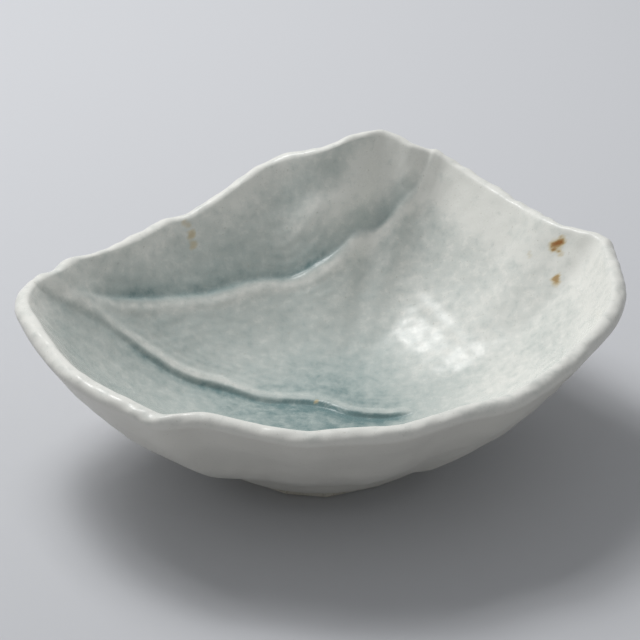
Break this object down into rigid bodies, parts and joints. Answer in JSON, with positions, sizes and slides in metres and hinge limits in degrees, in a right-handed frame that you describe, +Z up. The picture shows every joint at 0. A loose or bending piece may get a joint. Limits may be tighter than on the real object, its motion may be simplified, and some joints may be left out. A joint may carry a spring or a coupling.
{
  "type": "hand-formed stoneware bowl",
  "caption": "Free-form shallow bowl with a torn wavy rim, raised corners, pressed creases inside, pooled blue-green glaze and a carved foot ring",
  "frame": {"origin": "middle of the outline in plan, on the table under the foot ring", "axes": "+Z up out of the bowl, +X along the longest way across, the low front of the rim towards -Y and the highest corner towards +Y"},
  "size_m": [0.1628, 0.1474, 0.0599],
  "materials": {
    "glazed_shell": "glossy milky white glaze, grey-green where it runs thick, over pale stoneware",
    "pooled_glaze": "clear blue-green glaze glass pooled in the well",
    "bare_clay": "knife-cut, thinly washed stoneware, matt"
  },
  "bodies": {
    "root": {"bowl_body": "glazed_shell", "glaze_pool": "pooled_glaze", "foot_ring": "bare_clay"}
  },
  "joints": []
}
